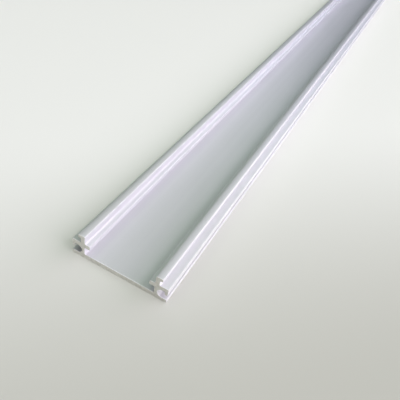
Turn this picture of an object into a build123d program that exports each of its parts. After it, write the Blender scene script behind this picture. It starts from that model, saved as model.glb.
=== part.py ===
"""LED profile: a shallow aluminium channel, extruded in one piece and sawn to length.

Millimetres. X runs across the channel, Y along it and Z up. The origin is the middle of the underside,
halfway along the bar. The section is the same from end to end, and the same on both sides of the YZ plane.
"""
import os

from build123d import *

# The bar, over its sawn ends and over its outer sides
length = 500.0
width = 30.0

# Base plate under the channel, and the thinner strips of it under the clip grooves
base_thickness = 1.5
foot_thickness = 1.2

# Slots along both sides of the floor that a rigid LED board slides into, and the ledges over them
slot_height = 2.5
ledge_reach = 1.7
ledge_thickness = 1.4

# Shelves outside the walls, level with the ledges, that carry the feet of the cover
shelf_width = 2.7

# Walls above the ledges, each with a bead along the outside that the cover clips over
wall_height = 2.8
wall_thickness = 1.3
bead_overhang = 0.8
bead_height = 1.1

# Round-ended grooves in the outer sides that mounting clips hook into
groove_height = 2.8
groove_depth = 3.1

# Lips that hang from the shelves over the mouths of the grooves
lip_thickness = 0.9
lip_drop = 1.0

# Radii of the section's corners: the feet of the walls above the ledges, the bottoms of the slots, and
# all the other outward and inward corners
wall_foot_radius = 0.6
slot_radius = 0.4
edge_radius = 0.2
corner_radius = 0.25

# Distances from the middle plane, from the outer side inwards
side = width / 2
lip_inside = side - lip_thickness
wall_outside = side - shelf_width
bead_side = wall_outside + bead_overhang
wall_inside = wall_outside - wall_thickness
ledge_tip = wall_inside - ledge_reach

# Heights, from the underside up
ledge_underside = base_thickness + slot_height
shelf_top = ledge_underside + ledge_thickness
wall_top = shelf_top + wall_height
bead_underside = wall_top - bead_height
groove_top = foot_thickness + groove_height
mouth_top = groove_top - lip_drop

# The inner end of each groove is a half circle between its floor and its roof
groove_radius = groove_height / 2
groove_centre_x = side - groove_depth + groove_radius
groove_centre_z = foot_thickness + groove_radius


def corners(sketch, places):
    """The sketch's corners at these places of the right half, with their mirror images."""
    close = 0.001
    return [
        corner
        for corner in sketch.vertices()
        if any(abs(abs(corner.X) - x) < close and abs(corner.Y - z) < close for x, z in places)
    ]


with BuildPart() as profile:
    with BuildSketch(Plane.XZ) as section:
        # Outline of the right half, from the middle of the underside round to the middle of the floor
        with BuildLine():
            Polyline(
                (0, 0),
                (side, 0),
                (side, foot_thickness),
                (groove_centre_x, foot_thickness),
            )
            CenterArc((groove_centre_x, groove_centre_z), groove_radius, start_angle=-90, arc_size=-180)
            Polyline(
                (groove_centre_x, groove_top),
                (lip_inside, groove_top),
                (lip_inside, mouth_top),
                (side, mouth_top),
                (side, shelf_top),
                (wall_outside, shelf_top),
                (wall_outside, bead_underside),
                (bead_side, bead_underside),
                (bead_side, wall_top),
                (wall_inside, wall_top),
                (wall_inside, shelf_top),
                (ledge_tip, shelf_top),
                (ledge_tip, ledge_underside),
                (wall_inside, ledge_underside),
                (wall_inside, base_thickness),
                (0, base_thickness),
            )
            mirror(about=Plane.YZ)
        make_face()

        # The foot of each wall, where it rises from its ledge, and the bottom of the slot under the ledge
        fillet(corners(section, [(wall_inside, shelf_top)]), radius=wall_foot_radius)
        fillet(corners(section, [(wall_inside, base_thickness)]), radius=slot_radius)

        # Outward corners: foot, lip, shelf, bead, wall and ledge
        outward = [
            (side, 0),
            (side, foot_thickness),
            (lip_inside, mouth_top),
            (side, mouth_top),
            (side, shelf_top),
            (bead_side, bead_underside),
            (bead_side, wall_top),
            (wall_inside, wall_top),
            (ledge_tip, shelf_top),
            (ledge_tip, ledge_underside),
        ]
        fillet(corners(section, outward), radius=edge_radius)

        # Inward corners: behind the lip, beside the shelf, under the bead and under the ledge
        inward = [
            (lip_inside, groove_top),
            (wall_outside, shelf_top),
            (wall_outside, bead_underside),
            (wall_inside, ledge_underside),
        ]
        fillet(corners(section, inward), radius=corner_radius)
    extrude(amount=length / 2, both=True)

profile.part.label = "profile"
os.makedirs("parts", exist_ok=True)
export_step(profile.part, "parts/profile.step")
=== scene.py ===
"""LED profile: a shallow anodised aluminium channel for an LED strip, lying on a pale table.

X runs across the channel, Y along it and Z up. The bar's own sizes are in millimetres, and everything else
is in metres.
"""
import math

import bmesh
import bpy
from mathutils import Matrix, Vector, noise


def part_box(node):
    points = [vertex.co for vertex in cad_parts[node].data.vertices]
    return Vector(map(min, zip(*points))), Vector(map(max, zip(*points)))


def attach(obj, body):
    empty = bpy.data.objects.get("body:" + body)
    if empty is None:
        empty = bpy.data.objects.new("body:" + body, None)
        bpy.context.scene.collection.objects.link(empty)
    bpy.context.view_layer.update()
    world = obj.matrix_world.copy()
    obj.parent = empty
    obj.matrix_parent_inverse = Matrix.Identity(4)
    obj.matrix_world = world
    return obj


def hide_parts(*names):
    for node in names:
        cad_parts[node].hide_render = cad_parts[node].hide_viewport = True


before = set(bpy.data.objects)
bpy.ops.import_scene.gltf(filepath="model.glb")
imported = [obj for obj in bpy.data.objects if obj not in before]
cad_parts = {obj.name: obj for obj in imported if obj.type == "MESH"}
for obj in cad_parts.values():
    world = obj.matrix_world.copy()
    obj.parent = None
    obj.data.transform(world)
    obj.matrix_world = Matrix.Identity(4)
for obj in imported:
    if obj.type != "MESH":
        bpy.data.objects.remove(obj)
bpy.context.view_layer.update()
scene = bpy.context.scene
scene.view_settings.view_transform = "Standard"

# Camera
# Held low over the near sawn end and looking along the channel, tilted so that the bar runs to the
# upper right. The bar leaves the picture well before its far end.
camera = bpy.data.objects.new("camera", bpy.data.cameras.new("camera"))
scene.collection.objects.link(camera)
scene.camera = camera
camera.data.sensor_width = 36.0
camera.data.lens = 42.154
camera.data.clip_start = 0.01
camera.location = (0.039866, -0.318274, 0.102039)
camera.rotation_euler = [math.radians(a) for a in (47.626, -10.148, 27.330)]

# Bar
# One length of 6063 aluminium, extruded through a die, so that its section is the same all along. It is
# satin anodised in the bar and sawn to length after, which leaves its two ends bare, with the edges of
# the cut lightly broken.
mm = 0.001

lowest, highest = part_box("profile")
length = (highest.y - lowest.y) / mm
width = (highest.x - lowest.x) / mm

# Base plate under the channel, and the thinner strips of it under the clip grooves
base_thickness = 1.5
foot_thickness = 1.2

# Slots along both sides of the floor, and the ledges over them
slot_height = 2.5
ledge_reach = 1.7
ledge_thickness = 1.4

# Shelves outside the walls, level with the ledges
shelf_width = 2.7

# Walls above the ledges, each with a bead along the outside. The die leaves the beads' tops very slightly
# crowned: their edges lie lower by this much.
wall_height = 2.8
wall_thickness = 1.3
bead_overhang = 0.8
bead_height = 1.1
bead_crown = 0.12

# Round-ended grooves in the outer sides, and the lips that hang over their mouths
groove_height = 2.8
groove_depth = 3.1
lip_thickness = 0.9
lip_drop = 1.0

# Radii of the corners. The shelves' outer edges are crisper than the rest, as their thin bright lines show,
# and the ledges' upper edges are rounder.
wall_foot_radius = 0.6
slot_radius = 0.4
edge_radius = 0.2
corner_radius = 0.25
shelf_edge_radius = 0.1
ledge_edge_radius = 0.35

# Distances from the middle plane, and heights
side = width / 2
lip_inside = side - lip_thickness
groove_end = side - groove_depth
wall_outside = side - shelf_width
bead_side = wall_outside + bead_overhang
wall_inside = wall_outside - wall_thickness
ledge_tip = wall_inside - ledge_reach
ledge_underside = base_thickness + slot_height
shelf_top = ledge_underside + ledge_thickness
wall_top = shelf_top + wall_height
bead_underside = wall_top - bead_height
groove_top = foot_thickness + groove_height
mouth_top = groove_top - lip_drop

# Corners of the right half of the section, as x, z and radius, from the underside round to the floor
right_half = [
    (side, 0, edge_radius),
    (side, foot_thickness, edge_radius),
    (groove_end, foot_thickness, groove_height / 2),
    (groove_end, groove_top, groove_height / 2),
    (lip_inside, groove_top, corner_radius),
    (lip_inside, mouth_top, edge_radius),
    (side, mouth_top, edge_radius),
    (side, shelf_top, shelf_edge_radius),
    (wall_outside, shelf_top, corner_radius),
    (wall_outside, bead_underside, corner_radius),
    (bead_side, bead_underside, edge_radius),
    (bead_side, wall_top, edge_radius),
    (wall_inside, wall_top, edge_radius),
    (wall_inside, shelf_top, wall_foot_radius),
    (ledge_tip, shelf_top, ledge_edge_radius),
    (ledge_tip, ledge_underside, edge_radius),
    (wall_inside, ledge_underside, corner_radius),
    (wall_inside, base_thickness, slot_radius),
]
section = right_half + [(-x, z, r) for x, z, r in reversed(right_half)]


def rounded(corners, step=0.5, arc_steps=8):
    """Points round a closed outline, with each corner turned on its radius, as (place, outward normal)."""
    points = []
    for i, (x, z, radius) in enumerate(corners):
        here = Vector((x, z))
        before = (Vector(corners[i - 1][:2]) - here).normalized()
        after = (Vector(corners[(i + 1) % len(corners)][:2]) - here).normalized()
        centre = here + (before + after) * radius
        turn = before.x * after.y - before.y * after.x
        for k in range(arc_steps + 1):
            a = math.pi / 2 * k / arc_steps
            spoke = -after * math.cos(a) - before * math.sin(a)
            points.append((centre + spoke * radius, spoke if turn < 0 else -spoke))
    # The straight runs are cut up as well, so that the sawn edge can be uneven along them
    cut = []
    for i, (place, normal) in enumerate(points):
        following, next_normal = points[(i + 1) % len(points)]
        runs = max(1, round((following - place).length / step))
        cut.append((place, normal))
        cut += [(place.lerp(following, k / runs), next_normal) for k in range(1, runs)]
    return cut


outline = rounded(section)

# The crown of each bead
bead_middle = (bead_side + wall_inside) / 2
for place, _ in outline:
    off_middle = (abs(place.x) - bead_middle) / (bead_side - wall_inside) * 2
    if place.y > wall_top - edge_radius:
        place.y -= bead_crown * off_middle ** 2

# Distance round the outline at each of its points
around = [0.0]
for (a, _), (b, _) in zip(outline, outline[1:] + outline[:1]):
    around.append(around[-1] + (b - a).length)


def sawn_edge(place, end, largest):
    """How far the saw broke the edge at a point of the outline: a ragged line with a few deeper nicks."""
    wavers_per_mm = 2.3
    nicks_per_mm = 0.9
    # Each end has a pattern of its own, from another layer of the noise
    waver = Vector((place.x * wavers_per_mm, place.y * wavers_per_mm, 7.0 * end))
    dent = Vector((place.x * nicks_per_mm, place.y * nicks_per_mm, 31.0 * end))
    ragged = 0.5 + 0.5 * noise.noise(waver)
    nick = max(0.0, noise.noise(dent) - 0.25)
    return largest * (0.25 + 0.6 * ragged + 2.0 * nick)


# Rings of the outline near each sawn end, as distance from it and depth of the broken edge there. The
# first is the rim of the sawn face. A few more divide the rest of the bar.
end_rings = [(0.0, 0.05), (0.03, 0.02), (0.08, 0.0), (0.6, 0.0), (5.0, 0.0), (20.0, 0.0), (50.0, 0.0)]
rings = [(distance - length / 2, depth) for distance, depth in end_rings]
rings += [(length * k / 10, 0.0) for k in range(-3, 4)]
rings += [(length / 2 - distance, depth) for distance, depth in reversed(end_rings)]

mesh = bmesh.new()
unrolled = mesh.loops.layers.uv.new("unrolled")
hoops = []
for y, depth in rings:
    end = 1 if y < 0 else 2
    hoop = []
    for place, normal in outline:
        worn = place - normal * sawn_edge(place, end, depth) if depth else place
        hoop.append(mesh.verts.new((worn.x * mm, y * mm, worn.y * mm)))
    hoops.append(hoop)

# The sides, between each hoop of corners and the next
for (near, far), ((y_near, _), (y_far, _)) in zip(zip(hoops, hoops[1:]), zip(rings, rings[1:])):
    for i in range(len(outline)):
        j = (i + 1) % len(outline)
        face = mesh.faces.new((near[i], near[j], far[j], far[i]))
        face.smooth = True
        # The section is unrolled flat: u is the way round it and v the way along the bar, in metres
        corners = ((i, y_near), (i + 1, y_near), (i + 1, y_far), (i, y_far))
        for loop, (u, v) in zip(face.loops, corners):
            loop[unrolled].uv = (around[u] * mm, v * mm)

# The two sawn faces
for hoop in (hoops[0], hoops[-1][::-1]):
    cap = mesh.faces.new(hoop[::-1])
    cap.material_index = 1
    for loop in cap.loops:
        loop[unrolled].uv = (loop.vert.co.x, loop.vert.co.z)
    for edge in cap.edges:
        edge.smooth = False
mesh.normal_update()
bmesh.ops.triangulate(mesh, faces=[f for f in mesh.faces if len(f.verts) > 4])
if mesh.calc_volume(signed=True) < 0:
    bmesh.ops.reverse_faces(mesh, faces=mesh.faces)
bar_mesh = bpy.data.meshes.new("bar")
mesh.to_mesh(bar_mesh)
mesh.free()
bar = bpy.data.objects.new("bar", bar_mesh)
scene.collection.objects.link(bar)


def colour(hex_code):
    """An sRGB hex colour as the linear values that Blender's sockets take, with an alpha of 1."""
    parts = [int(hex_code[i:i + 2], 16) / 255 for i in (1, 3, 5)]
    return [c / 12.92 if c <= 0.04045 else ((c + 0.055) / 1.055) ** 2.4 for c in parts] + [1.0]


def add(tree, kind, sockets=None, links=None, **settings):
    """Adds a node: its settings, the values of its sockets, and the outputs that feed them."""
    node = tree.nodes.new("ShaderNode" + kind)
    for name, value in settings.items():
        setattr(node, name, value)
    for name, value in (sockets or {}).items():
        node.inputs[name].default_value = value
    for name, output in (links or {}).items():
        tree.links.new(output, node.inputs[name])
    return node


def new_material(name):
    """An empty node material and its tree."""
    material = bpy.data.materials.new(name)
    material.use_nodes = True
    material.node_tree.nodes.clear()
    return material, material.node_tree


# Extruded aluminium, etched and satin anodised: a soft grey-white sheen, drawn out across the bar by the
# fine lines that the die leaves along it, with broad, hardly visible bands where the metal flowed.
anodised, tree = new_material("satin_anodised_aluminium")
unrolled_sides = add(tree, "UVMap", uv_map="unrolled")
# Real die lines are about 0.1 mm apart and up to a bar long: drawn 0.45 mm apart, so that they show
die_line_width = 0.45 * mm
die_line_length = 90 * mm
die_scale = add(
    tree, "Mapping", {"Scale": (1 / die_line_width, 1 / die_line_length, 1)},
    {"Vector": unrolled_sides.outputs["UV"]},
)
die_lines = add(
    tree, "TexNoise", {"Scale": 1.0, "Detail": 3.0, "Roughness": 0.6}, {"Vector": die_scale.outputs[0]},
    noise_dimensions="2D",
)
# The bands follow the flow of the metal through the die
flow_band_width = 6 * mm
flow_band_length = 400 * mm
band_scale = add(
    tree, "Mapping", {"Scale": (1 / flow_band_width, 1 / flow_band_length, 1)},
    {"Vector": unrolled_sides.outputs["UV"]},
)
bands = add(
    tree, "TexNoise", {"Scale": 1.0, "Detail": 2.0, "Roughness": 0.5}, {"Vector": band_scale.outputs[0]},
    noise_dimensions="2D",
)
tone = add(tree, "ValToRGB", links={"Fac": bands.outputs["Fac"]})
tone.color_ramp.elements[0].position = 0.3
tone.color_ramp.elements[0].color = colour("#ECECEF")
tone.color_ramp.elements[1].position = 0.7
tone.color_ramp.elements[1].color = colour("#F2F2F5")
sheen_range = add(
    tree, "MapRange", {"From Min": 0.3, "From Max": 0.7, "To Min": 0.46, "To Max": 0.54},
    {"Value": die_lines.outputs["Fac"]},
)
relief = add(
    tree, "Bump", {"Strength": 0.25, "Distance": 0.02 * mm}, {"Height": die_lines.outputs["Fac"]},
)
grain_direction = add(tree, "Tangent", direction_type="UV_MAP", uv_map="unrolled")
shader = add(
    tree, "BsdfPrincipled", {"Metallic": 1.0, "Anisotropic": 0.8},
    {
        "Base Color": tone.outputs["Color"], "Roughness": sheen_range.outputs["Result"],
        "Normal": relief.outputs["Normal"], "Tangent": grain_direction.outputs["Tangent"],
    },
)
add(tree, "OutputMaterial", links={"Surface": shader.outputs[0]})
bar_mesh.materials.append(anodised)

# Bare aluminium off the saw: warmer and more uneven than the anodised sides, with the shallow arcs of the
# blade's teeth across the cut.
sawn, tree = new_material("sawn_bare_aluminium")
position = add(tree, "TexCoord")
# The teeth of a 250 mm blade leave arcs about 0.1 mm apart: drawn 0.5 mm apart, so that they show. The
# blade's middle was above the bar and to its left. At a scale of 1, the wave texture has 20 / tau waves
# to the metre.
arc_spacing = 0.5 * mm
from_blade_middle = (40 * mm, 0, -120 * mm)
blade = add(tree, "Mapping", {"Location": from_blade_middle}, {"Vector": position.outputs["Object"]})
arcs = add(
    tree, "TexWave",
    {"Scale": math.tau / 20 / arc_spacing, "Distortion": 1.5, "Detail": 2.0, "Detail Scale": 3.0},
    {"Vector": blade.outputs[0]}, wave_type="RINGS", rings_direction="Y",
)
smear_size = 0.8 * mm
smear = add(
    tree, "TexNoise", {"Scale": 1 / smear_size, "Detail": 4.0, "Roughness": 0.6},
    {"Vector": position.outputs["Object"]},
)
tone = add(tree, "ValToRGB", links={"Fac": smear.outputs["Fac"]})
tone.color_ramp.elements[0].position = 0.3
tone.color_ramp.elements[0].color = colour("#D2D0CB")
tone.color_ramp.elements[1].position = 0.7
tone.color_ramp.elements[1].color = colour("#E6E5E1")
relief = add(tree, "Bump", {"Strength": 0.3, "Distance": 0.03 * mm}, {"Height": arcs.outputs["Fac"]})
shader = add(
    tree, "BsdfPrincipled", {"Metallic": 1.0, "Roughness": 0.45},
    {"Base Color": tone.outputs["Color"], "Normal": relief.outputs["Normal"]},
)
add(tree, "OutputMaterial", links={"Surface": shader.outputs[0]})
bar_mesh.materials.append(sawn)

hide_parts("profile")
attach(bar, "root")

# Table
# The pale top that the bar lies on, a hair below the bar's underside, with painted shade on it. It ends
# short of the window and the front panel.
table_left, table_right = -1.8, 1.25
table_front, table_back = -1.15, 2.8
table_height = -0.02 * mm
table_corners = [
    (table_left, table_front, table_height),
    (table_right, table_front, table_height),
    (table_right, table_back, table_height),
    (table_left, table_back, table_height),
]
table_mesh = bpy.data.meshes.new("table")
table_mesh.from_pydata(table_corners, [], [(0, 1, 2, 3)])
table = bpy.data.objects.new("table", table_mesh)
scene.collection.objects.link(table)
table_top, tree = new_material("matt_white_table_top")
position = add(tree, "TexCoord")
# Painted shade: the top's colour turns greyer in front and to the right of the bar, beyond a soft slanting
# step, standing in for light that falls off there
painted_shade_offset = 0.228
painted_shade_width = 0.12
painted_shade_slant = add(
    tree, "Mapping",
    {
        "Location": (painted_shade_offset / painted_shade_width, 0, 0),
        "Rotation": (0, 0, math.radians(-136)),
        "Scale": (1 / painted_shade_width, 1 / painted_shade_width, 1),
    },
    {"Vector": position.outputs["Object"]},
)
painted_shade_gradient = add(tree, "TexGradient", links={"Vector": painted_shade_slant.outputs[0]})
tone = add(tree, "ValToRGB", links={"Fac": painted_shade_gradient.outputs["Fac"]})
tone.color_ramp.interpolation = "EASE"
# Painted shade: the darker colour is the shaded part of the top, the lighter one the table's own white
tone.color_ramp.elements[0].color = colour("#C0C0B8")
tone.color_ramp.elements[1].color = colour("#EFF0EC")
shader = add(
    tree, "BsdfPrincipled", {"Roughness": 0.7, "Specular IOR Level": 0.3},
    {"Base Color": tone.outputs["Color"]},
)
add(tree, "OutputMaterial", links={"Surface": shader.outputs[0]})
table_mesh.materials.append(table_top)

# Light
# A long soft window to the right, with a bright band below it, a broad panel over the near end, and dimmer
# light from the ceiling, the far right corner, the front and all round.


def soft_lamp(name, size, radiance, tint, place, turned):
    """An even rectangular lamp of this many metres, with the same brightness whatever its size."""
    data = bpy.data.lights.new(name, "AREA")
    data.shape = "RECTANGLE"
    data.size, data.size_y = size
    data.energy = math.pi * data.size * data.size_y * radiance
    data.color = colour(tint)[:3]
    lamp = bpy.data.objects.new(name, data)
    scene.collection.objects.link(lamp)
    lamp.location = place
    lamp.rotation_euler = [math.radians(a) for a in turned]


soft_lamp("window", (4.8, 2.05), 2.24, "#FBEFFF", place=(1.4, 1.6, 1.375), turned=(90, 0, 90))
soft_lamp("low_band", (4.8, 0.1), 5.0, "#FFFFF0", place=(1.4, 1.6, 0.05), turned=(90, 0, 90))
soft_lamp("overhead", (4.4, 1.2), 1.3, "#FAFFF8", place=(0.0, -0.6, 1.6), turned=(0, 0, 0))
soft_lamp("ceiling", (2.4, 3.0), 0.4, "#E2FFE2", place=(0.0, 1.5, 1.6), turned=(0, 0, 0))
soft_lamp("far_corner", (1.4, 2.1), 0.66, "#D9E3FD", place=(0.7, 3.0, 1.15), turned=(90, 0, 180))
soft_lamp("front_panel", (2.4, 1.15), 0.5, "#FFFFFF", place=(0.0, -1.2, 0.625), turned=(90, 0, 0))

world = bpy.data.worlds.new("room")
scene.world = world
world.use_nodes = True
background = world.node_tree.nodes["Background"]
background.inputs["Color"].default_value = colour("#666666")
background.inputs["Strength"].default_value = 1.0
